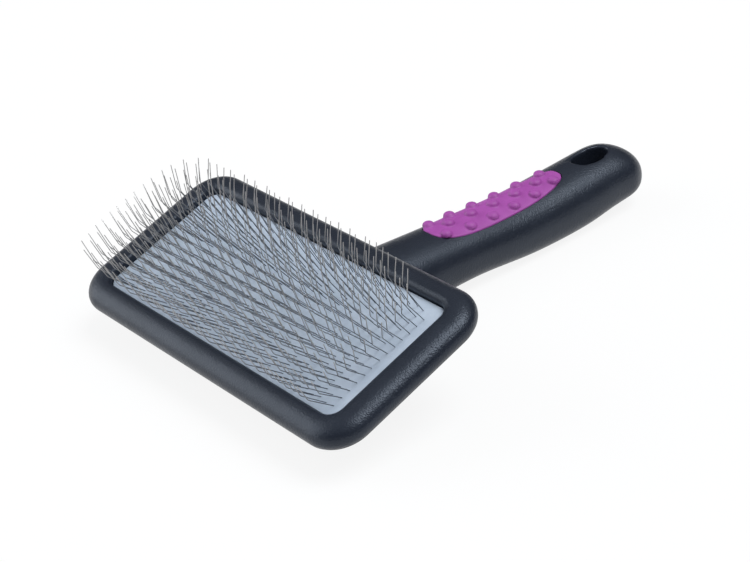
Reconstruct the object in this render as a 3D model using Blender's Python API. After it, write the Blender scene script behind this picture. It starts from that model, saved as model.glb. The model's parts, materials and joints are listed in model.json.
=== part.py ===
"""Slicker brush: a wire-pin grooming brush that lies on its handle with the pins up.

The head is a shallow tray, moulded in one piece with the handle, that holds a foam cushion, a pad sheet
and rows of bent wire pins under a clip-on frame. A soft grip with nubs is inlaid in the handle's top.

Head pieces are modelled in the head's own frame: the origin is the middle of the frame's window at its
inner lip, +X runs along the long side, +Y towards the handle and +Z out of the pad. The head's frame is an
empty that is tilted on the root. The handle is modelled in the root's frame, where Z = 0 is the surface
that the brush lies on and Y is the distance from the middle of the window.
"""

import math
from collections import namedtuple

import bmesh
import bpy
from mathutils import Vector

MM = 0.001

# Fits
SEAT_GAP = 0.3 * MM           # between pieces that rest on or slide past each other
STRIP_GAP = 0.2 * MM          # between neighbouring pin rows, and under them

# Head: window, rim and tray
WINDOW_LENGTH = 100.0 * MM
WINDOW_DEPTH = 40.4 * MM
WINDOW_CORNER = 3.6 * MM
LEAST_CORNER = 0.9 * MM       # corner of the loops that lie inside the window
RIM_AT_ENDS = 7.9 * MM        # rim width on the short sides
RIM_AT_SIDES = 7.1 * MM       # rim width on the long sides
HEAD_CORNER = 10.5 * MM
RIM_CROWN = 1.3 * MM          # crest of the rim above the inner lip
LIP_DROP = 0.25 * MM          # where the inner edge starts to round over
GIRTH_DROP = 2.7 * MM         # widest line of the head, below the lip
SEAM_DROP = 4.5 * MM          # joint between the frame and the tray, below the lip
BACK_DROP = 8.2 * MM          # flat back of the tray, below the lip
TRAY_FLOOR = 2.0 * MM
CREST_ACROSS = 0.27           # crest of the rim, as a share of the rim width
BACK_EDGE_ACROSS = -0.27      # where the back turns flat, as a share of the rim width
TRAY_WALL_ACROSS = 0.54       # inner face of the tray wall, as a share of the rim width
SKIRT_WIDTH = 1.2 * MM        # locating skirt of the frame, inside the tray wall
CORNER_STEPS = 6
ARC_STEPS = 5

# Cushion, pad and pins
PAD_DROP = 1.0 * MM           # pad surface at the window's edge, below the lip
PAD_CAMBER = 2.6 * MM         # rise of the pad's middle above its edge
CAMBER_POWER = 6              # how square the pad's dome is along the window
PAD_LOOPS = (0.2, 0.45, 0.7, 0.92)    # steps of the pad's mesh from its edge to its middle line
STRIP_THICKNESS = 0.6 * MM    # slice of the pad that a pin row is set in
SHEET_THICKNESS = 1.0 * MM
PIN_ROWS = 14
PINS_PER_ROW = 31
STRIP_STEPS = 12
PIN_MARGIN_ENDS = 3.7 * MM    # window's short edge to the first pin
PIN_MARGIN_SIDES = 3.0 * MM   # window's long edge to the first pin
WIRE_DIAMETER = 0.42 * MM
STAGGER_SHARE = 0.5           # offset of every other pin of a row, as a share of the row pitch
LOWER_LEG = 10.3 * MM
UPPER_LEG = 6.2 * MM
LOWER_LEAN = math.radians(26.0)   # away from the handle, in the middle of the pad
KNEE_BEND = math.radians(26.5)    # turn of the upper leg back towards the handle
FAN = math.radians(21.0)          # turn of a pin from the middle row to an outer row, as the pad curves
SPLAY_LEFT = math.radians(36.0)   # outward lean of the pins at the -X end
SPLAY_RIGHT = math.radians(23.0)  # outward lean of the pins at the +X end
SPLAY_POWER = 3.4                 # how soon the splay fades away from the ends
CORNER_CALM = 0.67                # share of the splay that is gone in the outer rows

# Handle and neck
HEAD_TILT = math.radians(19.0)
HEAD_HEIGHT = 22.0 * MM       # middle of the window above the surface the brush lies on
SPINE_START = -9.0 * MM       # where the handle's spine grows out of the tray's back
SPINE_HALF_WIDTH = 13.5 * MM
HEEL_AT = 21.0 * MM           # where the spine comes down to the surface that the brush lies on
HEEL_HALF_WIDTH = 12.4 * MM
HANDLE_END = 131.3 * MM       # middle of the window to the end of the handle
END_ROUND_PLAN = 9.0 * MM     # length of the end's rounding seen from above
END_ROUND_SIDE = 13.0 * MM    # length of the end's rounding seen from the side
UPPER_EXPONENT = 2.1          # section: round on top, flatter underneath
LOWER_EXPONENT = 2.8
SECTION_POINTS = 28
SECTION_STEP = 5.0 * MM
END_STEPS = 6
END_TURN = math.radians(84.0)     # the last section closes the end a little short of its pole

Station = namedtuple("Station", "y underside girth top half_width")
NECK = Station(34.0 * MM, 0.5 * MM, 8.7 * MM, 18.6 * MM, 11.1 * MM)
WAIST = Station(62.0 * MM, 1.5 * MM, 8.5 * MM, 17.1 * MM, 10.7 * MM)
PALM = Station(85.0 * MM, 0.0, 7.3 * MM, 16.3 * MM, 11.1 * MM)
BUTT = Station(104.0 * MM, 0.2 * MM, 7.7 * MM, 17.2 * MM, 11.1 * MM)
EYE = Station(119.0 * MM, 2.0 * MM, 9.2 * MM, 18.0 * MM, 10.7 * MM)

HOLE_LENGTH = 13.0 * MM
HOLE_WIDTH = 7.5 * MM
HOLE_TO_END = 16.0 * MM       # middle of the hang hole to the end of the handle
HOLE_SEGMENTS = 28

# Soft grip
GRIP_START = 53.7 * MM
GRIP_END = 102.5 * MM
GRIP_HALF_WIDTH = 6.6 * MM
GRIP_TAPER = 0.12             # wider towards the head, narrower towards the end
GRIP_EXPONENT = 3.0
GRIP_DEPTH = 1.9 * MM
GRIP_PROUD = 0.15 * MM
GRIP_POINTS = 40
GUIDE_MARGIN = 2.0 * MM       # how far the grip's guide surfaces run past its ends
NUB_PAIRS = 6
NUB_DIAMETER = 3.4 * MM
NUB_HEIGHT = 1.3 * MM
NUB_FULLNESS = 0.75           # below 1 the domes have steeper sides and flatter tops
NUB_FIRST = 3.4 * MM          # start of the grip to the first pair of nubs
NUB_LAST = 4.4 * MM           # last pair of nubs to the end of the grip
NUB_SPREAD = 4.3 * MM         # outer rows from the middle line, mid grip
NUB_DRAW_IN = 1.0 * MM        # how far the outer rows draw in at the grip's ends
NUB_DRAW_POWER = 4            # how late the outer rows draw in
NUB_SEGMENTS = 10
NUB_RINGS = 6

SHARP_EDGE = math.radians(35.0)

PARTS = "slicker_brush"
GUIDES = "slicker_brush_guides"


def start_scene():
    """Empty the scene and add one collection for the parts and one for cutters and guides."""
    for old in list(bpy.data.objects):
        bpy.data.objects.remove(old)
    for name in (PARTS, GUIDES):
        bpy.context.scene.collection.children.link(bpy.data.collections.new(name))


def make_material(name, colour, roughness, metallic=0.0):
    material = bpy.data.materials.new(name)
    material.use_nodes = True
    shader = material.node_tree.nodes["Principled BSDF"]
    shader.inputs["Base Color"].default_value = (*colour, 1.0)
    shader.inputs["Roughness"].default_value = roughness
    shader.inputs["Metallic"].default_value = metallic
    return material


def make_empty(name, parent=None):
    empty = bpy.data.objects.new(name, None)
    empty.parent = parent
    bpy.data.collections[PARTS].objects.link(empty)
    return empty


def make_object(name, bm, parent, material=None):
    """Turn a bmesh into an object: a part if it has a material, otherwise a guide."""
    bmesh.ops.recalc_face_normals(bm, faces=bm.faces)
    mesh = bpy.data.meshes.new(name)
    bm.to_mesh(mesh)
    bm.free()
    obj = bpy.data.objects.new(name, mesh)
    obj.parent = parent
    if material is None:
        bpy.data.collections[GUIDES].objects.link(obj)
        obj.hide_render = True
        obj.display_type = "WIRE"
        return obj
    mesh.materials.append(material)
    mesh.shade_smooth()
    mesh.set_sharp_from_angle(angle=SHARP_EDGE)
    bpy.data.collections[PARTS].objects.link(obj)
    return obj


def add_boolean(obj, operand, operation):
    modifier = obj.modifiers.new(operand.name, "BOOLEAN")
    modifier.object = operand
    modifier.operation = operation
    modifier.solver = "EXACT"


def loft(loops, closed=False):
    """Skin a row of point loops of equal length, and cap the two ends unless the row closes on itself."""
    bm = bmesh.new()
    rings = [[bm.verts.new(point) for point in loop] for loop in loops]
    pairs = list(zip(rings, rings[1:]))
    if closed:
        pairs.append((rings[-1], rings[0]))
    for first, second in pairs:
        for i in range(len(first)):
            j = (i + 1) % len(first)
            bm.faces.new((first[i], first[j], second[j], second[i]))
    if not closed:
        bm.faces.new(rings[0])
        bm.faces.new(rings[-1])
    return bm


def rim_loop(across):
    """Rounded rectangle at a share of the rim's width: 0 is the window's edge and 1 the head's outside."""
    half_x = WINDOW_LENGTH / 2 + across * RIM_AT_ENDS
    half_y = WINDOW_DEPTH / 2 + across * RIM_AT_SIDES
    corner = WINDOW_CORNER + across * (HEAD_CORNER - WINDOW_CORNER)
    corner = max(corner, LEAST_CORNER)
    points = []
    for quarter, (side_x, side_y) in enumerate(((1, 1), (-1, 1), (-1, -1), (1, -1))):
        for step in range(CORNER_STEPS + 1):
            angle = (quarter + step / CORNER_STEPS) * math.pi / 2
            x = side_x * (half_x - corner) + corner * math.cos(angle)
            y = side_y * (half_y - corner) + corner * math.sin(angle)
            points.append((x, y))
    return points


def level_loop(across, z):
    return [(x, y, z) for x, y in rim_loop(across)]


def rim_share(width):
    """A width across the rim, as a share of the narrower rim, so that the clearance holds all round."""
    return width / min(RIM_AT_SIDES, RIM_AT_ENDS)


def lower_side(z):
    """Share of the rim's width that the tray's rounded side reaches at a height below the girth."""
    drop = (-z - GIRTH_DROP) / (BACK_DROP - GIRTH_DROP)
    reach = 1.0 - BACK_EDGE_ACROSS
    return BACK_EDGE_ACROSS + reach * math.sqrt(max(0.0, 1.0 - drop * drop))


def arc_shares(steps):
    return [math.pi / 2 * step / steps for step in range(steps + 1)]


def camber(x, y):
    """Rise of the pad above its edge: a low dome that is held flat along the window."""
    across = min(1.0, abs(2 * y / WINDOW_DEPTH))
    along = min(1.0, abs(2 * x / WINDOW_LENGTH))
    return PAD_CAMBER * (1 - across ** 2) * (1 - along ** CAMBER_POWER)


def pad_height(x, y):
    return camber(x, y) - PAD_DROP


SHEET_TOP = -PAD_DROP - STRIP_THICKNESS - STRIP_GAP
SHEET_BOTTOM = SHEET_TOP - SHEET_THICKNESS
LEDGE = SHEET_TOP + SEAT_GAP            # underside of the rim, which holds the sheet's edge down
FLOOR_TOP = TRAY_FLOOR - BACK_DROP
SPINE_INSIDE = TRAY_FLOOR / 2           # how deep the spine's widest line lies in the tray's floor
SKIRT_OUTER = TRAY_WALL_ACROSS - rim_share(SEAT_GAP)
SKIRT_INNER = SKIRT_OUTER - rim_share(SKIRT_WIDTH)
SHEET_EDGE = SKIRT_INNER - rim_share(SEAT_GAP)


def build_front_frame(head, material):
    """Clip-on frame: a rolled rim, a ledge over the pad's edge and a skirt inside the tray."""
    profile = [(0.0, LEDGE)]
    inner_rise = RIM_CROWN + LIP_DROP
    for turn in arc_shares(ARC_STEPS)[:-1]:
        profile.append((CREST_ACROSS * (1 - math.cos(turn)), inner_rise * math.sin(turn) - LIP_DROP))
    outer_rise = RIM_CROWN + GIRTH_DROP
    for turn in reversed(arc_shares(ARC_STEPS)):
        reach = CREST_ACROSS + (1 - CREST_ACROSS) * math.cos(turn)
        profile.append((reach, outer_rise * math.sin(turn) - GIRTH_DROP))
    seam = -SEAM_DROP + SEAT_GAP / 2
    for z in ((seam - GIRTH_DROP) / 2, seam):
        profile.append((lower_side(z), z))
    profile.append((SKIRT_OUTER, seam))
    profile.append((SKIRT_OUTER, FLOOR_TOP + SEAT_GAP))
    profile.append((SKIRT_INNER, FLOOR_TOP + SEAT_GAP))
    profile.append((SKIRT_INNER, LEDGE))
    loops = [level_loop(across, z) for across, z in profile]
    return make_object("front_frame", loft(loops, closed=True), head, material)


def build_tray(head, material):
    """Open tray with a flat back and rounded sides, which the handle's form is joined to."""
    seam = -SEAM_DROP - SEAT_GAP / 2
    profile = [(TRAY_WALL_ACROSS, FLOOR_TOP), (TRAY_WALL_ACROSS, seam), (lower_side(seam), seam)]
    start = math.asin((-seam - GIRTH_DROP) / (BACK_DROP - GIRTH_DROP))
    for step in range(1, ARC_STEPS + 1):
        turn = start + (math.pi / 2 - start) * step / ARC_STEPS
        z = -GIRTH_DROP - (BACK_DROP - GIRTH_DROP) * math.sin(turn)
        profile.append((lower_side(z), z))
    loops = [level_loop(across, z) for across, z in profile]
    return make_object("handle_body", loft(loops), head, material)


def cambered_loops(edge, lift):
    """Loops from the edge to the middle line of the pad, lifted by the pad's camber."""
    middle = -WINDOW_DEPTH / 2 / RIM_AT_SIDES
    shares = [edge, 0.0] + [middle * step for step in PAD_LOOPS]
    return [[(x, y, lift + camber(x, y)) for x, y in rim_loop(across)] for across in shares]


def build_pad_sheet(head, material):
    """Rubbered cloth that carries the pins; the frame's ledge holds its edge."""
    under = list(reversed(cambered_loops(SHEET_EDGE, SHEET_BOTTOM)))
    return make_object("pad_sheet", loft(under + cambered_loops(SHEET_EDGE, SHEET_TOP)), head, material)


def build_foam_cushion(head, material):
    """Foam block between the tray's floor and the pad sheet."""
    loops = [level_loop(SHEET_EDGE, FLOOR_TOP + SEAT_GAP)]
    loops += cambered_loops(SHEET_EDGE, SHEET_BOTTOM - SEAT_GAP)
    return make_object("foam_cushion", loft(loops), head, material)


ROW_PITCH = (WINDOW_DEPTH - 2 * PIN_MARGIN_SIDES) / (PIN_ROWS - 1 + STAGGER_SHARE)
PIN_STAGGER = ROW_PITCH * STAGGER_SHARE
PIN_PITCH = (WINDOW_LENGTH - 2 * PIN_MARGIN_ENDS) / (PINS_PER_ROW - 1)
PIN_FIELD_HALF = WINDOW_DEPTH / 2 - PIN_MARGIN_SIDES


def row_centre(row):
    return (row - (PIN_ROWS - 1) / 2) * ROW_PITCH


def leg(length, lean_y, lean_x):
    """One straight leg of a pin, leaning by two angles from the pad's normal."""
    direction = Vector((math.tan(lean_x), math.tan(lean_y), 1.0)).normalized()
    return direction * length


def pin_points(x, y):
    """Root, knee and tip of the bent pin that stands at a point of the pad and tilts with its dome."""
    row_share = y / PIN_FIELD_HALF
    end_share = 2 * x / (WINDOW_LENGTH - 2 * PIN_MARGIN_ENDS)
    flatness = 1 - abs(2 * x / WINDOW_LENGTH) ** CAMBER_POWER
    lean = FAN * row_share * flatness - LOWER_LEAN
    splay = SPLAY_RIGHT if x > 0 else -SPLAY_LEFT
    splay *= abs(end_share) ** SPLAY_POWER * (1 - CORNER_CALM * row_share ** 2)
    lower = leg(LOWER_LEG, lean, splay)
    foot = Vector((x, y, pad_height(x, y)))
    root = foot - lower.normalized() * (STRIP_THICKNESS / 2)
    knee = foot + lower
    return (root, knee, knee + leg(UPPER_LEG, lean + KNEE_BEND, splay))


def build_wires(name, row, head):
    """The pins of one row as three-sided wires, in one mesh."""
    section = bpy.data.curves.new(name + "_section", "CURVE")
    outline = section.splines.new("POLY")
    outline.points.add(2)
    outline.use_cyclic_u = True
    for corner, point in enumerate(outline.points):
        angle = 2 * math.pi * corner / 3
        point.co = (WIRE_DIAMETER / 2 * math.cos(angle), WIRE_DIAMETER / 2 * math.sin(angle), 0.0, 1.0)
    section_object = bpy.data.objects.new(name + "_section", section)

    wires = bpy.data.curves.new(name + "_curve", "CURVE")
    wires.dimensions = "3D"
    wires.bevel_mode = "OBJECT"
    wires.bevel_object = section_object
    wires.use_fill_caps = True
    for column in range(PINS_PER_ROW):
        x = (column - (PINS_PER_ROW - 1) / 2) * PIN_PITCH
        stagger = PIN_STAGGER / 2 if column % 2 else -PIN_STAGGER / 2
        points = pin_points(x, row_centre(row) + stagger)
        spline = wires.splines.new("POLY")
        spline.points.add(len(points) - 1)
        for point, place in zip(spline.points, points):
            point.co = (*place, 1.0)
    curve_object = bpy.data.objects.new(name + "_curve", wires)
    for temporary in (section_object, curve_object):
        bpy.data.collections[GUIDES].objects.link(temporary)
    bpy.context.view_layer.update()

    bm = bmesh.new()
    evaluated = curve_object.evaluated_get(bpy.context.evaluated_depsgraph_get())
    mesh = bpy.data.meshes.new_from_object(evaluated)
    bm.from_mesh(mesh)
    bmesh.ops.remove_doubles(bm, verts=bm.verts, dist=WIRE_DIAMETER / 100)
    for temporary in (section_object, curve_object):
        bpy.data.objects.remove(temporary)
    return make_object(name + "_wires", bm, head)


def corner_cut(x):
    """How far the window's rounded corner takes away from the pad's long edge at a place along it."""
    into = abs(x) - (WINDOW_LENGTH / 2 - SEAT_GAP - WINDOW_CORNER)
    if into <= 0:
        return 0.0
    return WINDOW_CORNER - math.sqrt(max(0.0, WINDOW_CORNER ** 2 - into ** 2))


def build_pin_row(row, head, material):
    """One row of pins with the slice of pad that it is set in."""
    name = f"pin_row_{row + 1:02d}"
    half = (ROW_PITCH - STRIP_GAP) / 2
    edge = WINDOW_DEPTH / 2 - SEAT_GAP
    reach = WINDOW_LENGTH / 2 - SEAT_GAP
    loops = []
    for step in range(STRIP_STEPS + 1):
        x = -reach * math.cos(math.pi * step / STRIP_STEPS)
        near = corner_cut(x) - edge if row == 0 else row_centre(row) - half
        far = edge - corner_cut(x) if row == PIN_ROWS - 1 else row_centre(row) + half
        top = [(x, y, pad_height(x, y)) for y in (near, far)]
        bottom = [(x, y, z - STRIP_THICKNESS) for x, y, z in reversed(top)]
        loops.append(top + bottom)
    strip = make_object(name, loft(loops), head, material)
    add_boolean(strip, build_wires(name, row, head), "UNION")
    return strip


def tray_back(y):
    """Height of the tray's flat back above the surface that the brush lies on."""
    return HEAD_HEIGHT + y * math.tan(HEAD_TILT) - BACK_DROP / math.cos(HEAD_TILT)


def smooth_step(share):
    return share * share * (3 - 2 * share)


def spine_station(y):
    """The spine's lines: a hull that grows out of the tray's back and is widest inside the tray's floor."""
    share = smooth_step((y - SPINE_START) / (HEEL_AT - SPINE_START))
    underside = (tray_back(SPINE_START) + SPINE_INSIDE / 2) * (1 - share)
    half_width = SPINE_HALF_WIDTH + (HEEL_HALF_WIDTH - SPINE_HALF_WIDTH) * share
    top = tray_back(y) + SPINE_INSIDE / math.cos(HEAD_TILT)
    return Station(y, underside, top, top, half_width)


def blend_stations(stations, y):
    """Smooth values between stations: a cubic through each pair with the slopes of its neighbours."""
    spots = [station.y for station in stations]
    index = max(i for i in range(len(spots) - 1) if spots[i] <= y or i == 0)
    first, second = stations[index], stations[index + 1]
    before = stations[max(index - 1, 0)]
    after = stations[min(index + 2, len(stations) - 1)]
    span = second.y - first.y
    t = min(1.0, (y - first.y) / span)
    values = []
    for a, b, c, d in zip(before, first, second, after):
        slope_b = (c - a) / (second.y - before.y) * span
        slope_c = (d - b) / (after.y - first.y) * span
        cubic = 2 * b - 2 * c + slope_b + slope_c
        square = 3 * c - 3 * b - 2 * slope_b - slope_c
        values.append(((cubic * t + square) * t + slope_b) * t + b)
    return Station(*values)


def handle_station(y):
    """The handle's lines at a distance from the window's middle: spine, neck, grip length and end."""
    if y <= HEEL_AT:
        return spine_station(y)
    if y < NECK.y:
        share = smooth_step((y - HEEL_AT) / (NECK.y - HEEL_AT))
        return Station(*(a + (b - a) * share for a, b in zip(spine_station(HEEL_AT), NECK)))
    tip = EYE._replace(y=HANDLE_END)
    return blend_stations((NECK, WAIST, PALM, BUTT, EYE, tip), y)


def end_rounding(y, length):
    past = max(0.0, (y - (HANDLE_END - length)) / length)
    return math.sqrt(max(0.0, 1.0 - past * past))


def handle_section(y, lower_top=0.0):
    """Closed section across the handle, round on top and flatter underneath."""
    station = handle_station(y)
    flat = end_rounding(y, END_ROUND_SIDE)
    half_width = station.half_width * end_rounding(y, END_ROUND_PLAN)
    points = []
    for step in range(SECTION_POINTS):
        angle = 2 * math.pi * (step + 0.5) / SECTION_POINTS
        side, rise = math.cos(angle), math.sin(angle)
        upper = rise > 0
        exponent = UPPER_EXPONENT if upper else LOWER_EXPONENT
        height = station.top - lower_top - station.girth if upper else station.girth - station.underside
        x = math.copysign(abs(side) ** (2 / exponent), side) * half_width
        z = math.copysign(abs(rise) ** (2 / exponent), rise) * height * flat
        points.append((x, y, station.girth + z))
    return points


def even_spots(start, end):
    steps = round((end - start) / SECTION_STEP)
    return [start + (end - start) * step / steps for step in range(steps + 1)]


def handle_form(root):
    """Solid handle from the spine to the rounded end."""
    straight_end = HANDLE_END - END_ROUND_SIDE
    spots = even_spots(SPINE_START, straight_end)
    for step in range(1, END_STEPS + 1):
        spots.append(straight_end + END_ROUND_SIDE * math.sin(END_TURN * step / END_STEPS))
    return make_object("handle_form", loft([handle_section(y) for y in spots]), root)


def grip_guide(name, root, lower_top):
    """The handle's form along the grip alone, with its top lowered for the pocket or raised for the face."""
    spots = even_spots(GRIP_START - GUIDE_MARGIN, GRIP_END + GUIDE_MARGIN)
    return make_object(name, loft([handle_section(y, lower_top) for y in spots]), root)


def grip_outline(clearance):
    """Leaf-shaped plan of the grip, wider towards the head."""
    half_length = (GRIP_END - GRIP_START) / 2 - clearance
    middle = (GRIP_START + GRIP_END) / 2
    points = []
    for step in range(GRIP_POINTS):
        angle = 2 * math.pi * step / GRIP_POINTS
        side, along = math.cos(angle), math.sin(angle)
        y = math.copysign(abs(along) ** (2 / GRIP_EXPONENT), along)
        x = math.copysign(abs(side) ** (2 / GRIP_EXPONENT), side)
        x *= (GRIP_HALF_WIDTH - clearance) * (1 - GRIP_TAPER * y)
        points.append((x, middle + y * half_length))
    return points


def grip_prism(name, root, clearance=0.0, material=None):
    outline = grip_outline(clearance)
    low, high = PALM.girth, HEAD_HEIGHT
    loops = [[(x, y, z) for x, y in outline] for z in (low, high)]
    return make_object(name, loft(loops), root, material)


def nub_places():
    """Pairs of nubs along the grip, with single ones between the pairs."""
    first, last = GRIP_START + NUB_FIRST, GRIP_END - NUB_LAST
    pitch = (last - first) / (NUB_PAIRS - 1)
    places = []
    for pair in range(NUB_PAIRS):
        share = 2 * pair / (NUB_PAIRS - 1) - 1
        spread = NUB_SPREAD - NUB_DRAW_IN * share ** NUB_DRAW_POWER
        spread *= 1 - GRIP_TAPER * share
        places += [(side * spread, first + pair * pitch) for side in (-1, 1)]
    places += [(0.0, first + (pair + 0.5) * pitch) for pair in range(NUB_PAIRS - 1)]
    return places


def grip_surface(x, y):
    """Height of the handle's top at a point of the grip."""
    station = handle_station(y)
    share = (1 - abs(x / station.half_width) ** UPPER_EXPONENT) ** (1 / UPPER_EXPONENT)
    return station.girth + (station.top - station.girth) * share


def build_nubs(root):
    """Domes with a root that reaches a third of the way into the grip, in one mesh."""
    bm = bmesh.new()
    nub_root = (GRIP_DEPTH - SEAT_GAP) / 3
    for x, y in nub_places():
        sphere = bmesh.ops.create_uvsphere(bm, u_segments=NUB_SEGMENTS, v_segments=NUB_RINGS, radius=1.0)
        base = grip_surface(x, y) + GRIP_PROUD
        for vert in sphere["verts"]:
            height = NUB_HEIGHT if vert.co.z > 0 else nub_root
            vert.co.x = x + vert.co.x * NUB_DIAMETER / 2
            vert.co.y = y + vert.co.y * NUB_DIAMETER / 2
            vert.co.z = base + math.copysign(abs(vert.co.z) ** NUB_FULLNESS, vert.co.z) * height
    return make_object("grip_nubs", bm, root)


def build_hole_cutter(root):
    """Oval bar through the end of the handle, long enough to pass its top and underside."""
    bm = bmesh.new()
    radius = HOLE_WIDTH / 2
    size = {"radius1": radius, "radius2": radius, "depth": 4 * HEAD_HEIGHT}
    bmesh.ops.create_cone(bm, segments=HOLE_SEGMENTS, cap_ends=True, **size)
    for vert in bm.verts:
        vert.co.y = HANDLE_END - HOLE_TO_END + vert.co.y * HOLE_LENGTH / HOLE_WIDTH
    return make_object("hang_hole", bm, root)


def build_handle_body(head, root, material):
    """Tray and handle in one moulding, with the grip's pocket and the hang hole."""
    body = build_tray(head, material)
    add_boolean(body, handle_form(root), "UNION")
    pocket = grip_prism("grip_pocket", root)
    add_boolean(pocket, grip_guide("pocket_floor", root, GRIP_DEPTH), "DIFFERENCE")
    add_boolean(body, pocket, "DIFFERENCE")
    add_boolean(body, build_hole_cutter(root), "DIFFERENCE")
    return body


def build_soft_grip(root, material):
    """Soft inlay that follows the handle's top, a little proud of it, with domed nubs."""
    grip = grip_prism("soft_grip", root, SEAT_GAP, material)
    add_boolean(grip, grip_guide("grip_face", root, -GRIP_PROUD), "INTERSECT")
    add_boolean(grip, grip_guide("grip_seat", root, GRIP_DEPTH - SEAT_GAP), "DIFFERENCE")
    add_boolean(grip, build_nubs(root), "UNION")
    return grip


def set_origin(root, parts):
    """Move the root so that the origin is under the middle of the brush, on the surface it lies on."""
    bpy.context.view_layer.update()
    graph = bpy.context.evaluated_depsgraph_get()
    corners = []
    for part in parts:
        evaluated = part.evaluated_get(graph)
        corners += [part.matrix_world @ vert.co for vert in evaluated.data.vertices]
    low = [min(corner[axis] for corner in corners) for axis in range(3)]
    high = [max(corner[axis] for corner in corners) for axis in range(3)]
    root.location = (-(low[0] + high[0]) / 2, -(low[1] + high[1]) / 2, -low[2])
    bpy.context.view_layer.update()


def main():
    start_scene()
    plastic = make_material("slate_plastic", (0.028, 0.032, 0.045), 0.42)
    rubber = make_material("pad_rubber", (0.42, 0.50, 0.60), 0.85)
    foam = make_material("grey_foam", (0.35, 0.37, 0.40), 0.95)
    steel = make_material("pin_steel", (0.55, 0.54, 0.53), 0.35, 1.0)
    violet = make_material("violet_elastomer", (0.38, 0.07, 0.40), 0.55)

    root = make_empty("brush_root")
    head = make_empty("head_plane", root)
    head.location = (0.0, 0.0, HEAD_HEIGHT)
    head.rotation_euler = (HEAD_TILT, 0.0, 0.0)

    parts = [build_handle_body(head, root, plastic)]
    parts.append(build_front_frame(head, plastic))
    parts.append(build_foam_cushion(head, foam))
    parts.append(build_pad_sheet(head, rubber))
    parts += [build_pin_row(row, head, steel) for row in range(PIN_ROWS)]
    parts.append(build_soft_grip(root, violet))
    set_origin(root, parts)


main()
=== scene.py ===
"""Looks of the slicker brush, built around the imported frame.

Pieces of the head are made in the head's own frame: the origin is the middle of the window at the frame's
inner lip, +X runs along the long side, +Y towards the handle and +Z out of the pad. Pieces of the handle
are made with Y as the distance from the middle of the window and Z as the height above the floor.
"""

import json
import math
import random

import bmesh
import bpy
from mathutils import Matrix, Quaternion, Vector


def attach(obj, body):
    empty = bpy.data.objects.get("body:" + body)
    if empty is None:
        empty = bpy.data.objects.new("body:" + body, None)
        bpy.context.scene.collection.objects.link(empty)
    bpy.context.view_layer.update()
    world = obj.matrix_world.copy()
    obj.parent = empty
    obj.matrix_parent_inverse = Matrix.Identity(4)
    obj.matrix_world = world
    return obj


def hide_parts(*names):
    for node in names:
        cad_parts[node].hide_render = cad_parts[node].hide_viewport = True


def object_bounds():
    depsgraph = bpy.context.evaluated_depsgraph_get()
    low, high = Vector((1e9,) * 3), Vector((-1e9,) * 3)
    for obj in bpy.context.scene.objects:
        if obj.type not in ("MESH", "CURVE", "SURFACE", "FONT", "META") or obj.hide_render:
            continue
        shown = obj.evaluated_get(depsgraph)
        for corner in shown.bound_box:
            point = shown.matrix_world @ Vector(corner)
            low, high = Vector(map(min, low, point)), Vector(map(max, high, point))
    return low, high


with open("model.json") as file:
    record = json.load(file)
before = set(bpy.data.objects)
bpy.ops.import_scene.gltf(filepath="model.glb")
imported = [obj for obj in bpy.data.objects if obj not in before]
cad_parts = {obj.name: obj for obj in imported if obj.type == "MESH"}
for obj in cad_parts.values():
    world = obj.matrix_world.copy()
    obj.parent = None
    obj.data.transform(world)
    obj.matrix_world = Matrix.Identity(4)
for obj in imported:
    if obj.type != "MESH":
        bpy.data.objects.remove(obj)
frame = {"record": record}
CAD_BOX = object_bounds()
MM = 0.001

# Head, as in the CAD source
WINDOW_LENGTH = 100.0 * MM
WINDOW_DEPTH = 40.4 * MM
WINDOW_CORNER = 3.6 * MM
LEAST_CORNER = 0.9 * MM
RIM_AT_ENDS = 7.9 * MM
RIM_AT_SIDES = 7.1 * MM
HEAD_CORNER = 10.5 * MM
RIM_CROWN = 1.3 * MM
LIP_DROP = 0.25 * MM
GIRTH_DROP = 2.7 * MM
SEAM_DROP = 4.5 * MM
BACK_DROP = 8.2 * MM
TRAY_FLOOR = 2.0 * MM
CREST_ACROSS = 0.27
BACK_EDGE_ACROSS = -0.27
TRAY_WALL_ACROSS = 0.54
SKIRT_WIDTH = 1.2 * MM
SEAT_GAP = 0.3 * MM
SEAM_GAP = 0.04 * MM          # open line between frame and tray
SEAM_EDGE = 0.22 * MM         # broken edge on both sides of the seam
WALL_SPARE = 2.4 * MM         # tray wall above the seam, trimmed after softening
CORNER_STEPS = 18
ARC_STEPS = 14
SIDE_STEPS = 4                # profile steps from the girth down to the seam
SEAM_STEPS = 3

# Pad and pins
PAD_DROP = 1.0 * MM
PAD_CAMBER = 2.6 * MM
CAMBER_POWER = 6
STRIP_THICKNESS = 0.6 * MM
STRIP_GAP = 0.2 * MM
SHEET_THICKNESS = 1.0 * MM
PAD_LOOPS = 22
FOAM_LOOPS = 14
INNERMOST_LOOP = 0.97         # share of the way to the window's middle line
PIN_ROWS = 14
PIN_COLUMNS = 37
PIN_MARGIN_ENDS = 3.7 * MM
PIN_MARGIN_SIDES = 3.0 * MM
PIN_STAGGER = 0.5 * MM        # offset of every other column
WIRE_RADIUS = 0.112 * MM
WIRE_SIDES = 8
WIRE_SET = 0.7                # share of the strip's thickness that a pin's foot goes down
TIP_NARROWING = 0.55
KNEE_RADIUS = 1.6 * MM
KNEE_STEPS = 4
LOWER_LEG = 9.6 * MM
UPPER_LEG = 6.7 * MM
LOWER_LEAN = math.radians(26.0)
KNEE_BEND = math.radians(26.5)
KNEE_RISE = math.radians(8.5)     # how much more the pins of the back row bend
FAN_BACK = math.radians(21.0)
FAN_FRONT = math.radians(8.0)
SPLAY_LEFT = math.radians(36.0)
SPLAY_RIGHT = math.radians(23.0)
SPLAY_POWER = 3.4
CORNER_CALM = 0.67
LEFT_SKEW = 0.22              # more splay in the front rows of the -X end than in the back rows
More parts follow.
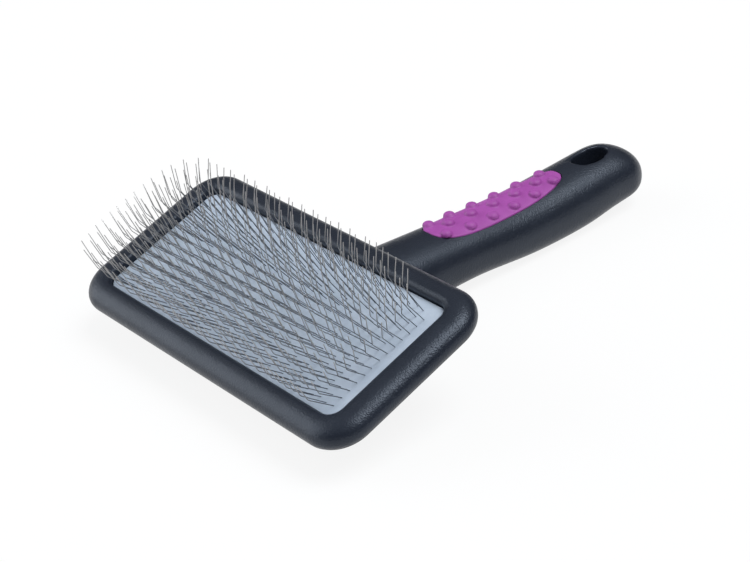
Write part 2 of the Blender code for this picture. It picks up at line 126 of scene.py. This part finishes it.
LEFT_RISE = math.radians(12.0)    # how much more upright the pins of the -X end stand
PIN_WOBBLE = math.radians(1.7)
PIN_SHIFT = 0.12 * MM
PIN_SHORTER = 0.2 * MM

# Handle, as in the CAD source
SPINE_START = -9.0 * MM
SPINE_HALF_WIDTH = 13.5 * MM
HEEL_AT = 21.0 * MM
HEEL_HALF_WIDTH = 12.4 * MM
HANDLE_END = 131.3 * MM
END_ROUND_PLAN = 9.0 * MM
END_ROUND_SIDE = 13.0 * MM
UPPER_EXPONENT = 2.1
LOWER_EXPONENT = 2.8
SECTION_POINTS = 96
SECTION_STEP = 1.5 * MM
END_SECTIONS = 18
END_TURN = math.radians(87.0) # the end's last section, short of a point
STATION_FIELDS = ("y", "underside", "girth", "top", "half_width")
NECK = (34.0 * MM, 0.5 * MM, 8.7 * MM, 18.6 * MM, 11.1 * MM)
WAIST = (62.0 * MM, 1.5 * MM, 8.5 * MM, 17.1 * MM, 10.7 * MM)
PALM = (85.0 * MM, 0.0, 7.3 * MM, 16.3 * MM, 11.1 * MM)
BUTT = (104.0 * MM, 0.2 * MM, 7.7 * MM, 17.2 * MM, 11.1 * MM)
EYE = (119.0 * MM, 2.0 * MM, 9.2 * MM, 18.0 * MM, 10.7 * MM)
HEAD_HEIGHT = 22.0 * MM
HOLE_LENGTH = 13.0 * MM
HOLE_WIDTH = 7.5 * MM
HOLE_TO_END = 16.0 * MM
HOLE_SIDES = 64
HANDLE_VOXEL = 0.5 * MM
HANDLE_SMOOTHING = 8

# Soft grip
GRIP_START = 53.7 * MM
GRIP_END = 102.5 * MM
GRIP_HALF_WIDTH = 6.6 * MM
GRIP_TAPER = 0.12
GRIP_EXPONENT = 3.0
GRIP_DEPTH = 1.9 * MM
GRIP_PROUD = 0.15 * MM
GRIP_GROOVE = 0.22 * MM
GRIP_VOXEL = 0.22 * MM
GRIP_SMOOTHING = 5
GRIP_POINTS = 120
GRIP_MARGIN = 2.0 * MM        # how far the grip's faces run past its ends before it is cut out
NUB_PAIRS = 6
NUB_DIAMETER = 3.5 * MM
NUB_HEIGHT = 1.35 * MM
NUB_FULLNESS = 0.7
NUB_FIRST = 3.4 * MM
NUB_LAST = 4.4 * MM
NUB_SPREAD = 4.3 * MM
NUB_DRAW_IN = 1.0 * MM
NUB_DRAW_POWER = 4
NUB_SIDES = 24
NUB_RINGS = 14

# Camera, measured from the middle of the window along the row frame's axes
CAMERA_PLACE = Vector((370.1, -234.8, 245.1)) * MM
CAMERA_AIM = Vector((15.98, 22.61, 0.0)) * MM
CAMERA_ROLL = math.radians(6.6)
CAMERA_LENS = 93.68

FLOOR_HALF = 3.0
FLOOR_GLOW = 0.88             # share of the floor's shadow that is lifted to white
LIGHT_COLOUR = (0.94, 0.97, 1.0)

random.seed(7)

# The head's frame, from the mount on the flat back of the tray
MOUNT = next(m for m in frame["record"]["mounts"] if m["name"] == "head_back")
HEAD_TILT = math.atan2(MOUNT["axis"][1], -MOUNT["axis"][2])
HEAD_TURN = Matrix.Rotation(HEAD_TILT, 4, "X")
MOUNT_PLACE = Vector(MOUNT["pos_m"])
HEAD_ORIGIN = MOUNT_PLACE - HEAD_TURN @ Vector((MOUNT_PLACE.x, 0.0, -BACK_DROP))
HEAD = Matrix.Translation(HEAD_ORIGIN) @ HEAD_TURN
ROOT = Matrix.Translation(HEAD_ORIGIN - Vector((0.0, 0.0, HEAD_HEIGHT)))

SHEET_TOP = -PAD_DROP - STRIP_THICKNESS - STRIP_GAP
SHEET_BOTTOM = SHEET_TOP - SHEET_THICKNESS
LEDGE = SHEET_TOP + SEAT_GAP
FLOOR_TOP = TRAY_FLOOR - BACK_DROP
SPINE_INSIDE = TRAY_FLOOR / 2


# Mesh helpers

def make_object(name, bm, placed):
    bmesh.ops.recalc_face_normals(bm, faces=bm.faces)
    bm.transform(placed)
    mesh = bpy.data.meshes.new(name)
    bm.to_mesh(mesh)
    bm.free()
    obj = bpy.data.objects.new(name, mesh)
    bpy.context.scene.collection.objects.link(obj)
    return obj


def apply_modifiers(obj):
    """Replace the object's mesh by what its modifiers make of it."""
    bpy.context.view_layer.update()
    graph = bpy.context.evaluated_depsgraph_get()
    mesh = bpy.data.meshes.new_from_object(obj.evaluated_get(graph))
    obj.modifiers.clear()
    obj.data = mesh


def boolean(obj, operand, operation):
    """Apply a Boolean with an operand that is then removed."""
    modifier = obj.modifiers.new(operation, "BOOLEAN")
    modifier.object = operand
    modifier.operation = operation
    modifier.solver = "EXACT"
    apply_modifiers(obj)
    bpy.data.objects.remove(operand)


def soften(obj, voxel, passes):
    """Even out a joined form: a voxel skin, smoothed, so that edges and joins turn into fillets."""
    remesh = obj.modifiers.new("skin", "REMESH")
    remesh.mode = "VOXEL"
    remesh.voxel_size = voxel
    smooth = obj.modifiers.new("smooth", "SMOOTH")
    smooth.factor = 0.5
    smooth.iterations = passes
    apply_modifiers(obj)


def keep_inside(obj):
    """Bring points that smoothing pushed past the CAD model's box back to it."""
    low, high = CAD_BOX
    for vert in obj.data.vertices:
        vert.co = [min(max(vert.co[axis], low[axis]), high[axis]) for axis in range(3)]


def loft(loops, closed=False):
    """Skin a row of point loops of equal length, and cap the two ends unless the row closes on itself."""
    bm = bmesh.new()
    rings = [[bm.verts.new(point) for point in loop] for loop in loops]
    pairs = list(zip(rings, rings[1:]))
    if closed:
        pairs.append((rings[-1], rings[0]))
    for first, second in pairs:
        for i in range(len(first)):
            j = (i + 1) % len(first)
            bm.faces.new((first[i], first[j], second[j], second[i]))
    if not closed:
        bm.faces.new(rings[0])
        bm.faces.new(rings[-1])
    return bm


def finish_piece(obj, material, nodes, sharp=40.0):
    """Shade a piece, give it its material, and tie it to the frame."""
    obj.data.materials.clear()
    obj.data.materials.append(material)
    obj.data.shade_smooth()
    obj.data.set_sharp_from_angle(angle=math.radians(sharp))
    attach(obj, "root")
    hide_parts(*nodes)
    return obj


# Shapes of the head

def rim_loop(across):
    half_x = WINDOW_LENGTH / 2 + across * RIM_AT_ENDS
    half_y = WINDOW_DEPTH / 2 + across * RIM_AT_SIDES
    corner = max(WINDOW_CORNER + across * (HEAD_CORNER - WINDOW_CORNER), LEAST_CORNER)
    points = []
    for quarter, (side_x, side_y) in enumerate(((1, 1), (-1, 1), (-1, -1), (1, -1))):
        for step in range(CORNER_STEPS + 1):
            angle = (quarter + step / CORNER_STEPS) * math.pi / 2
            x = side_x * (half_x - corner) + corner * math.cos(angle)
            y = side_y * (half_y - corner) + corner * math.sin(angle)
            points.append((x, y))
    return points


def level_loop(across, z):
    return [(x, y, z) for x, y in rim_loop(across)]


def rim_share(width):
    return width / min(RIM_AT_SIDES, RIM_AT_ENDS)


def lower_side(z):
    drop = (-z - GIRTH_DROP) / (BACK_DROP - GIRTH_DROP)
    reach = 1.0 - BACK_EDGE_ACROSS
    return BACK_EDGE_ACROSS + reach * math.sqrt(max(0.0, 1.0 - drop * drop))


def camber(x, y):
    across = min(1.0, abs(2 * y / WINDOW_DEPTH))
    along = min(1.0, abs(2 * x / WINDOW_LENGTH))
    return PAD_CAMBER * (1 - across ** 2) * (1 - along ** CAMBER_POWER)


def pad_height(x, y):
    return camber(x, y) - PAD_DROP


SKIRT_OUTER = TRAY_WALL_ACROSS - rim_share(SEAT_GAP)
SKIRT_INNER = SKIRT_OUTER - rim_share(SKIRT_WIDTH)
SHEET_EDGE = SKIRT_INNER - rim_share(SEAT_GAP)


def seam_round(seam):
    """Small quarter round where the frame's side meets the seam."""
    points = []
    for step in range(SEAM_STEPS + 1):
        turn = math.pi / 2 * step / SEAM_STEPS
        z = seam + SEAM_EDGE * (1 - math.sin(turn))
        inset = rim_share(SEAM_EDGE) * (1 - math.cos(turn))
        points.append((lower_side(z) - inset, z))
    return points


def make_frame():
    profile = [(0.0, LEDGE)]
    for step in range(ARC_STEPS):
        turn = math.pi / 2 * step / ARC_STEPS
        reach = CREST_ACROSS * (1 - math.cos(turn))
        profile.append((reach, (RIM_CROWN + LIP_DROP) * math.sin(turn) - LIP_DROP))
    for step in range(ARC_STEPS + 1):
        turn = math.pi / 2 * (1 - step / ARC_STEPS)
        reach = CREST_ACROSS + (1 - CREST_ACROSS) * math.cos(turn)
        profile.append((reach, (RIM_CROWN + GIRTH_DROP) * math.sin(turn) - GIRTH_DROP))
    seam = -SEAM_DROP + SEAM_GAP / 2
    for step in range(1, SIDE_STEPS):
        z = -GIRTH_DROP + (seam + SEAM_EDGE + GIRTH_DROP) * step / SIDE_STEPS
        profile.append((lower_side(z), z))
    profile += seam_round(seam)
    profile += [(SKIRT_OUTER, seam), (SKIRT_OUTER, FLOOR_TOP + SEAT_GAP)]
    profile += [(SKIRT_INNER, FLOOR_TOP + SEAT_GAP), (SKIRT_INNER, LEDGE)]
    return make_object("rolled_frame", loft([level_loop(*spot) for spot in profile], closed=True), HEAD)


def make_tray():
    """Back tray, its wall carried past the seam so that softening leaves the seam's edge alone."""
    wall_top = WALL_SPARE - SEAM_DROP
    profile = [(TRAY_WALL_ACROSS, FLOOR_TOP), (TRAY_WALL_ACROSS, wall_top), (1.0, wall_top)]
    for step in range(ARC_STEPS + 1):
        turn = math.pi / 2 * step / ARC_STEPS
        z = -GIRTH_DROP - (BACK_DROP - GIRTH_DROP) * math.sin(turn)
        profile.append((lower_side(z), z))
    return make_object("handle_moulding", loft([level_loop(*spot) for spot in profile]), HEAD)


def make_seam_cutter():
    """What the tray's wall loses above the seam, with a slope at the side that breaks the edge."""
    seam = -SEAM_DROP - SEAM_GAP / 2
    edge = lower_side(seam - SEAM_EDGE) - rim_share(SEAM_EDGE)
    outside = edge + rim_share(WALL_SPARE)
    profile = [(0.0, seam), (edge, seam), (outside, seam - WALL_SPARE), (outside, seam + 2 * WALL_SPARE)]
    return make_object("seam_cutter", loft([level_loop(*spot) for spot in profile]), HEAD)


def cambered_loops(edge, lift, steps):
    middle = -WINDOW_DEPTH / 2 / RIM_AT_SIDES * INNERMOST_LOOP
    shares = [edge] + [middle * step / steps for step in range(steps + 1)]
    return [[(x, y, lift + camber(x, y)) for x, y in rim_loop(across)] for across in shares]


def make_pad():
    """Pad with its raised field in the window and a thinner edge under the frame's ledge."""
    inside = -rim_share(SEAT_GAP)
    top = [[(x, y, pad_height(x, y)) for x, y in rim_loop(inside)]]
    top += cambered_loops(inside, -PAD_DROP, PAD_LOOPS)[2:]
    edge = [level_loop(SHEET_EDGE, SHEET_TOP), level_loop(inside, SHEET_TOP)]
    under = list(reversed(cambered_loops(SHEET_EDGE, SHEET_BOTTOM, PAD_LOOPS)))
    return make_object("rubber_pad", loft(under + edge + top), HEAD)


def make_foam():
    loops = [level_loop(SHEET_EDGE, FLOOR_TOP + SEAT_GAP)]
    loops += cambered_loops(SHEET_EDGE, SHEET_BOTTOM - SEAT_GAP, FOAM_LOOPS)
    return make_object("foam_block", loft(loops), HEAD)


# Pins

ROW_PITCH = (WINDOW_DEPTH - 2 * PIN_MARGIN_SIDES - PIN_STAGGER) / (PIN_ROWS - 1)
COLUMN_PITCH = (WINDOW_LENGTH - 2 * PIN_MARGIN_ENDS) / (PIN_COLUMNS - 1)
PIN_FIELD_HALF = WINDOW_DEPTH / 2 - PIN_MARGIN_SIDES


def direction(lean_y, lean_x):
    return Vector((math.tan(lean_x), math.tan(lean_y), 1.0)).normalized()


def wobble(amount):
    return random.uniform(-amount, amount)


def pin_leans(x, y):
    """Lean of a pin's lower leg along Y, and its splay along X, as the pad's dome turns it."""
    row_share = y / PIN_FIELD_HALF
    end_share = 2 * x / (WINDOW_LENGTH - 2 * PIN_MARGIN_ENDS)
    flatness = 1 - abs(2 * x / WINDOW_LENGTH) ** CAMBER_POWER
    lean = (FAN_BACK * flatness if y > 0 else FAN_FRONT) * row_share - LOWER_LEAN
    calm = 1 - CORNER_CALM * row_share ** 2
    if x > 0:
        return lean, SPLAY_RIGHT * calm * end_share ** SPLAY_POWER
    lean += LEFT_RISE * end_share ** CAMBER_POWER
    return lean, -SPLAY_LEFT * (calm - LEFT_SKEW * row_share) * abs(end_share) ** SPLAY_POWER


def pin_path(x, y):
    """Centreline of one pin: straight lower leg, rounded knee, straight upper leg."""
    lean, splay = pin_leans(x, y)
    lean += wobble(PIN_WOBBLE)
    splay += wobble(PIN_WOBBLE)
    lower = direction(lean, splay)
    bend = KNEE_BEND + KNEE_RISE * max(0.0, y / PIN_FIELD_HALF)
    upper = direction(lean + bend + wobble(PIN_WOBBLE), splay + wobble(PIN_WOBBLE))
    upper_leg = UPPER_LEG - random.uniform(0.0, PIN_SHORTER)
    foot = Vector((x, y, pad_height(x, y)))
    knee = foot + lower * LOWER_LEG
    cut = KNEE_RADIUS * math.tan(lower.angle(upper) / 2)
    points = [foot - lower * STRIP_THICKNESS * WIRE_SET]
    start, end = knee - lower * cut, knee + upper * cut
    for step in range(KNEE_STEPS + 1):
        t = step / KNEE_STEPS
        points.append(start * (1 - t) ** 2 + knee * (2 * t * (1 - t)) + end * t ** 2)
    points.append(knee + upper * (upper_leg - WIRE_RADIUS))
    points.append(knee + upper * upper_leg)
    return points


def wire_rings(points):
    """Rings of a round wire along a path, with a slightly narrowed tip."""
    rings = []
    for index, point in enumerate(points):
        along = points[min(index + 1, len(points) - 1)] - points[max(index - 1, 0)]
        side = along.cross(Vector((0.0, 1.0, 0.3))).normalized()
        other = along.cross(side).normalized()
        radius = WIRE_RADIUS * (TIP_NARROWING if index == len(points) - 1 else 1.0)
        ring = []
        for corner in range(WIRE_SIDES):
            angle = 2 * math.pi * corner / WIRE_SIDES
            ring.append(point + (side * math.cos(angle) + other * math.sin(angle)) * radius)
        rings.append(ring)
    return rings


def make_pin_row(row):
    whole = bmesh.new()
    centre = (row - (PIN_ROWS - 1) / 2) * ROW_PITCH
    for column in range(PIN_COLUMNS):
        x = (column - (PIN_COLUMNS - 1) / 2) * COLUMN_PITCH + wobble(PIN_SHIFT)
        y = centre + (-PIN_STAGGER / 2 if column % 2 else PIN_STAGGER / 2) + wobble(PIN_SHIFT)
        if row == PIN_ROWS - 1 and column in (0, PIN_COLUMNS - 1):
            continue                    # the back corners of the field are left empty
        single = loft(wire_rings(pin_path(x, y)))
        mesh = bpy.data.meshes.new("pin")
        single.to_mesh(mesh)
        single.free()
        whole.from_mesh(mesh)
        bpy.data.meshes.remove(mesh)
    return make_object(f"wire_row_{row + 1:02d}", whole, HEAD)


# Shapes of the handle

def tray_back(y):
    return HEAD_HEIGHT + y * math.tan(HEAD_TILT) - BACK_DROP / math.cos(HEAD_TILT)


def blend_stations(stations, y):
    index = max(i for i in range(len(stations) - 1) if stations[i][0] <= y or i == 0)
    first, second = stations[index], stations[index + 1]
    before = stations[max(index - 1, 0)]
    after = stations[min(index + 2, len(stations) - 1)]
    span = second[0] - first[0]
    t = min(1.0, (y - first[0]) / span)
    values = []
    for a, b, c, d in zip(before, first, second, after):
        slope_b = (c - a) / (second[0] - before[0]) * span
        slope_c = (d - b) / (after[0] - first[0]) * span
        cubic = 2 * b - 2 * c + slope_b + slope_c
        square = 3 * c - 3 * b - 2 * slope_b - slope_c
        values.append(((cubic * t + square) * t + slope_b) * t + b)
    return values


def smooth_step(share):
    return share * share * (3 - 2 * share)


def spine_station(y):
    """The spine's lines: a hull that grows out of the tray's back and is widest inside the tray's floor."""
    share = smooth_step((y - SPINE_START) / (HEEL_AT - SPINE_START))
    underside = (tray_back(SPINE_START) + SPINE_INSIDE / 2) * (1 - share)
    half_width = SPINE_HALF_WIDTH + (HEEL_HALF_WIDTH - SPINE_HALF_WIDTH) * share
    top = tray_back(y) + SPINE_INSIDE / math.cos(HEAD_TILT)
    return (y, underside, top, top, half_width)


def handle_station(y):
    """Underside, girth and top heights and half width of the handle at a distance along it."""
    if y <= HEEL_AT:
        values = spine_station(y)
    elif y < NECK[0]:
        share = smooth_step((y - HEEL_AT) / (NECK[0] - HEEL_AT))
        values = [a + (b - a) * share for a, b in zip(spine_station(HEEL_AT), NECK)]
    else:
        tip = (HANDLE_END, *EYE[1:])
        values = blend_stations((NECK, WAIST, PALM, BUTT, EYE, tip), y)
    return dict(zip(STATION_FIELDS, values))


def end_rounding(y, length):
    past = max(0.0, (y - (HANDLE_END - length)) / length)
    return math.sqrt(max(0.0, 1.0 - past * past))


def handle_section(y, lower_top=0.0):
    station = handle_station(y)
    flat = end_rounding(y, END_ROUND_SIDE)
    half_width = station["half_width"] * end_rounding(y, END_ROUND_PLAN)
    points = []
    for step in range(SECTION_POINTS):
        angle = 2 * math.pi * (step + 0.5) / SECTION_POINTS
        side, rise = math.cos(angle), math.sin(angle)
        if rise > 0:
            exponent, height = UPPER_EXPONENT, station["top"] - lower_top - station["girth"]
        else:
            exponent, height = LOWER_EXPONENT, station["girth"] - station["underside"]
        x = math.copysign(abs(side) ** (2 / exponent), side) * half_width
        z = math.copysign(abs(rise) ** (2 / exponent), rise) * height * flat
        points.append((x, y, station["girth"] + z))
    return points


def handle_form(name, start, end, lower_top=0.0):
    steps = round((end - start) / SECTION_STEP)
    spots = [start + (end - start) * i / steps for i in range(steps + 1)]
    return make_object(name, loft([handle_section(y, lower_top) for y in spots]), ROOT)


def whole_handle_form(name):
    straight_end = HANDLE_END - END_ROUND_SIDE
    steps = round((straight_end - SPINE_START) / SECTION_STEP)
    spots = [SPINE_START + (straight_end - SPINE_START) * i / steps for i in range(steps + 1)]
    for step in range(1, END_SECTIONS + 1):
        spots.append(straight_end + END_ROUND_SIDE * math.sin(END_TURN * step / END_SECTIONS))
    return make_object(name, loft([handle_section(y) for y in spots]), ROOT)


def grip_outline(inset):
    half_length = (GRIP_END - GRIP_START) / 2 - inset
    middle = (GRIP_START + GRIP_END) / 2
    points = []
    for step in range(GRIP_POINTS):
        angle = 2 * math.pi * step / GRIP_POINTS
        side, along = math.cos(angle), math.sin(angle)
        y = math.copysign(abs(along) ** (2 / GRIP_EXPONENT), along)
        x = math.copysign(abs(side) ** (2 / GRIP_EXPONENT), side)
        points.append((x * (GRIP_HALF_WIDTH - inset) * (1 - GRIP_TAPER * y), middle + y * half_length))
    return points


def grip_prism(name, inset=0.0):
    loops = [[(x, y, z) for x, y in grip_outline(inset)] for z in (PALM[2], HEAD_HEIGHT)]
    return make_object(name, loft(loops), ROOT)


def grip_form(name, lower_top):
    return handle_form(name, GRIP_START - GRIP_MARGIN, GRIP_END + GRIP_MARGIN, lower_top)


def nub_places():
    first, last = GRIP_START + NUB_FIRST, GRIP_END - NUB_LAST
    pitch = (last - first) / (NUB_PAIRS - 1)
    places = []
    for pair in range(NUB_PAIRS):
        share = 2 * pair / (NUB_PAIRS - 1) - 1
        spread = (NUB_SPREAD - NUB_DRAW_IN * share ** NUB_DRAW_POWER) * (1 - GRIP_TAPER * share)
        places += [(side * spread, first + pair * pitch) for side in (-1, 1)]
    places += [(0.0, first + (pair + 0.5) * pitch) for pair in range(NUB_PAIRS - 1)]
    return places


def grip_surface(x, y):
    station = handle_station(y)
    share = (1 - abs(x / station["half_width"]) ** UPPER_EXPONENT) ** (1 / UPPER_EXPONENT)
    return station["girth"] + (station["top"] - station["girth"]) * share


def make_nubs():
    bm = bmesh.new()
    nub_root = (GRIP_DEPTH - SEAT_GAP) / 3
    for x, y in nub_places():
        dome = bmesh.ops.create_uvsphere(bm, u_segments=NUB_SIDES, v_segments=NUB_RINGS, radius=1.0)["verts"]
        base = grip_surface(x, y) + GRIP_PROUD
        for vert in dome:
            height = NUB_HEIGHT if vert.co.z > 0 else nub_root
            vert.co.x = x + vert.co.x * NUB_DIAMETER / 2
            vert.co.y = y + vert.co.y * NUB_DIAMETER / 2
            vert.co.z = base + math.copysign(abs(vert.co.z) ** NUB_FULLNESS, vert.co.z) * height
    return make_object("nubs", bm, ROOT)


def make_hole_cutter():
    bm = bmesh.new()
    radius = HOLE_WIDTH / 2
    size = {"radius1": radius, "radius2": radius, "depth": 4 * HEAD_HEIGHT}
    bmesh.ops.create_cone(bm, segments=HOLE_SIDES, cap_ends=True, **size)
    for vert in bm.verts:
        vert.co.y = HANDLE_END - HOLE_TO_END + vert.co.y * HOLE_LENGTH / HOLE_WIDTH
    return make_object("hole_cutter", bm, ROOT)


def make_handle():
    body = make_tray()
    boolean(body, whole_handle_form("handle_form"), "UNION")
    boolean(body, make_hole_cutter(), "DIFFERENCE")
    soften(body, HANDLE_VOXEL, HANDLE_SMOOTHING)
    keep_inside(body)
    boolean(body, make_seam_cutter(), "DIFFERENCE")
    pocket = grip_prism("pocket")
    boolean(pocket, grip_form("pocket_floor", GRIP_DEPTH), "DIFFERENCE")
    boolean(body, pocket, "DIFFERENCE")
    return body


def make_grip():
    grip = grip_prism("nubbed_grip", GRIP_GROOVE)
    boolean(grip, grip_form("grip_face", -GRIP_PROUD), "INTERSECT")
    boolean(grip, grip_form("grip_seat", GRIP_DEPTH - SEAT_GAP), "DIFFERENCE")
    boolean(grip, make_nubs(), "UNION")
    soften(grip, GRIP_VOXEL, GRIP_SMOOTHING)
    return grip


# Materials

class Nodes:
    """Small helper that adds nodes to a material and links them."""

    def __init__(self, name):
        self.material = bpy.data.materials.new(name)
        self.material.use_nodes = True
        self.tree = self.material.node_tree
        self.shader = self.tree.nodes["Principled BSDF"]
        self.place = self.add("ShaderNodeTexCoord").outputs["Object"]

    def add(self, kind, **settings):
        node = self.tree.nodes.new(kind)
        for key, value in settings.items():
            setattr(node, key, value)
        return node

    def link(self, output, target):
        self.tree.links.new(output, target)

    def set(self, **values):
        for key, value in values.items():
            self.shader.inputs[key.replace("_", " ")].default_value = value

    def noise(self, grain, detail=3.0, roughness=0.5):
        """Noise whose features are about one grain across."""
        node = self.add("ShaderNodeTexNoise")
        node.inputs["Scale"].default_value = 1.0 / grain
        node.inputs["Detail"].default_value = detail
        node.inputs["Roughness"].default_value = roughness
        self.link(self.place, node.inputs["Vector"])
        return node.outputs["Fac"]

    def ramp(self, factor, *stops):
        node = self.add("ShaderNodeValToRGB")
        ramp = node.color_ramp
        while len(ramp.elements) < len(stops):
            ramp.elements.new(0.5)
        for element, (position, colour) in zip(ramp.elements, stops):
            element.position = position
            element.color = (*colour, 1.0)
        self.link(factor, node.inputs["Fac"])
        return node.outputs["Color"]

    def range(self, factor, low, high):
        node = self.add("ShaderNodeMapRange")
        node.inputs["From Min"].default_value = 0.3
        node.inputs["From Max"].default_value = 0.7
        node.inputs["To Min"].default_value = low
        node.inputs["To Max"].default_value = high
        self.link(factor, node.inputs["Value"])
        return node.outputs["Result"]

    def math(self, operation, first, second):
        node = self.add("ShaderNodeMath", operation=operation)
        self.link(first, node.inputs[0])
        if isinstance(second, float):
            node.inputs[1].default_value = second
        else:
            self.link(second, node.inputs[1])
        return node.outputs[0]

    def bump(self, height, depth, strength=1.0, below=None):
        node = self.add("ShaderNodeBump")
        node.inputs["Strength"].default_value = strength
        node.inputs["Distance"].default_value = depth
        self.link(height, node.inputs["Height"])
        if below is not None:
            self.link(below, node.inputs["Normal"])
        return node.outputs["Normal"]


def plastic_material():
    n = Nodes("slate_plastic")
    colour = n.ramp(n.noise(9 * MM), (0.3, (0.011, 0.0145, 0.024)), (0.7, (0.016, 0.020, 0.031)))
    n.link(colour, n.shader.inputs["Base Color"])
    n.link(n.range(n.noise(1.2 * MM), 0.30, 0.38), n.shader.inputs["Roughness"])
    grain = n.bump(n.noise(0.45 * MM, 1.0), 0.10 * MM)
    n.link(grain, n.shader.inputs["Normal"])
    n.set(Specular_IOR_Level=0.46, Specular_Tint=(0.78, 0.87, 1.0, 1.0))
    return n.material


def pad_material():
    n = Nodes("pad_rubber")
    colour = n.ramp(n.noise(6 * MM), (0.3, (0.43, 0.50, 0.595)), (0.7, (0.49, 0.56, 0.655)))
    n.link(colour, n.shader.inputs["Base Color"])
    n.link(n.range(n.noise(0.8 * MM), 0.75, 0.9), n.shader.inputs["Roughness"])
    ripple = n.bump(n.noise(2.4 * MM, 1.0), 0.25 * MM)
    n.link(n.bump(n.noise(0.3 * MM, 3.0), 0.03 * MM, below=ripple), n.shader.inputs["Normal"])
    return n.material


def steel_material():
    """Steel wire, with painted shade that darkens it near the pad and a painted reflection that brightens
    the upper legs.
    """
    n = Nodes("pin_steel")
    rise = n.add("ShaderNodeVectorMath", operation="DOT_PRODUCT")
    n.link(n.place, rise.inputs[0])
    rise.inputs[1].default_value = HEAD_TURN.col[2].xyz
    height = n.add("ShaderNodeMapRange")
    pad_level = HEAD_TURN.col[2].xyz.dot(HEAD_ORIGIN)
    height.inputs["From Min"].default_value = pad_level
    height.inputs["From Max"].default_value = pad_level + LOWER_LEG + UPPER_LEG
    n.link(rise.outputs["Value"], height.inputs["Value"])
    # painted shade and reflection: by height, the colour runs from dark steel at the pad to bright steel at
    # the tips, plus random tone from the noise
    painted_sheen_and_tone = n.math("ADD", height.outputs["Result"], n.range(n.noise(2.5 * MM), -0.08, 0.08))
    colour = n.ramp(painted_sheen_and_tone, (0.1, (0.15, 0.16, 0.18)), (0.75, (0.50, 0.49, 0.485)))
    n.link(colour, n.shader.inputs["Base Color"])
    n.link(n.range(n.noise(0.6 * MM), 0.42, 0.52), n.shader.inputs["Roughness"])
    n.set(Metallic=1.0)
    return n.material


def foam_material():
    n = Nodes("grey_foam")
    colour = n.ramp(n.noise(0.7 * MM), (0.35, (0.22, 0.23, 0.25)), (0.65, (0.42, 0.44, 0.47)))
    n.link(colour, n.shader.inputs["Base Color"])
    n.link(n.bump(n.noise(0.6 * MM), 0.2 * MM), n.shader.inputs["Normal"])
    n.set(Roughness=0.95)
    return n.material


def grip_material():
    n = Nodes("violet_elastomer")
    colour = n.ramp(n.noise(5 * MM), (0.3, (0.345, 0.060, 0.335)), (0.7, (0.39, 0.075, 0.38)))
    n.link(colour, n.shader.inputs["Base Color"])
    n.link(n.range(n.noise(0.9 * MM), 0.48, 0.6), n.shader.inputs["Roughness"])
    n.link(n.bump(n.noise(0.3 * MM, 2.0), 0.015 * MM), n.shader.inputs["Normal"])
    return n.material


def floor_material():
    """White floor: what the camera and reflections see of it glows a little, so that shadows stay faint."""
    n = Nodes("pale_floor")
    n.set(Base_Color=(0.94, 0.94, 0.94, 1.0), Roughness=0.9)
    path = n.add("ShaderNodeLightPath")
    seen = n.math("MAXIMUM", path.outputs["Is Camera Ray"], path.outputs["Is Glossy Ray"])
    seen = n.math("MAXIMUM", seen, path.outputs["Is Transmission Ray"])
    mix = n.add("ShaderNodeMixShader")
    n.link(n.math("MULTIPLY", seen, FLOOR_GLOW), mix.inputs[0])
    n.link(n.shader.outputs[0], mix.inputs[1])
    n.link(n.add("ShaderNodeEmission").outputs[0], mix.inputs[2])
    n.link(mix.outputs[0], n.tree.nodes["Material Output"].inputs["Surface"])
    return n.material


# Stage

def make_floor():
    bm = bmesh.new()
    bmesh.ops.create_grid(bm, x_segments=1, y_segments=1, size=FLOOR_HALF)
    floor = make_object("floor", bm, Matrix.Translation((0.0, 0.0, CAD_BOX[0].z)))
    floor.data.materials.append(floor_material())


def add_sun(name, towards, width, strength):
    """A soft, even light from a direction; its width in degrees sets how soft the shadow is."""
    light = bpy.data.lights.new(name, "SUN")
    light.angle = math.radians(width)
    light.energy = strength
    light.color = LIGHT_COLOUR
    lamp = bpy.data.objects.new(name, light)
    lamp.rotation_mode = "QUATERNION"
    lamp.rotation_quaternion = Vector(towards).to_track_quat("Z", "Y")
    bpy.context.scene.collection.objects.link(lamp)


def add_light():
    world = bpy.data.worlds.new("studio")
    world.use_nodes = True
    tree = world.node_tree
    background = tree.nodes["Background"]
    background.inputs["Color"].default_value = (0.93, 0.96, 1.0, 1.0)
    split = tree.nodes.new("ShaderNodeSeparateXYZ")
    tree.links.new(tree.nodes.new("ShaderNodeTexCoord").outputs["Generated"], split.inputs[0])
    height = tree.nodes.new("ShaderNodeMapRange")
    height.inputs["From Min"].default_value = 0.3
    height.inputs["To Min"].default_value = 0.08
    height.inputs["To Max"].default_value = 0.55
    tree.links.new(split.outputs["Z"], height.inputs["Value"])
    tree.links.new(height.outputs["Result"], background.inputs["Strength"])
    bpy.context.scene.world = world
    add_sun("key_light", (0.36, 0.25, 0.9), 36.0, 2.2)
    add_sun("front_light", (-0.74, -0.6, 0.31), 60.0, 1.8)
    bpy.context.scene.view_settings.view_transform = "Standard"


def add_camera():
    camera = bpy.data.objects.new("camera", bpy.data.cameras.new("camera"))
    camera.data.lens = CAMERA_LENS
    camera.data.clip_start = 0.01
    camera.location = HEAD_ORIGIN + CAMERA_PLACE
    camera.rotation_mode = "QUATERNION"
    look = (CAMERA_AIM - CAMERA_PLACE).to_track_quat("-Z", "Y")
    camera.rotation_quaternion = look @ Quaternion((0.0, 0.0, 1.0), -CAMERA_ROLL)
    bpy.context.scene.collection.objects.link(camera)
    bpy.context.scene.camera = camera


add_camera()
add_light()
make_floor()
plastic = plastic_material()
finish_piece(make_handle(), plastic, ["handle_body"], 50.0)
finish_piece(make_frame(), plastic, ["front_frame"])
pad = finish_piece(make_pad(), pad_material(), ["pad_sheet"])
foam = finish_piece(make_foam(), foam_material(), ["foam_cushion"])
steel = steel_material()
for pin_row in range(PIN_ROWS):
    finish_piece(make_pin_row(pin_row), steel, [f"pin_row_{pin_row + 1:02d}"])
finish_piece(make_grip(), grip_material(), ["soft_grip"], 60.0)
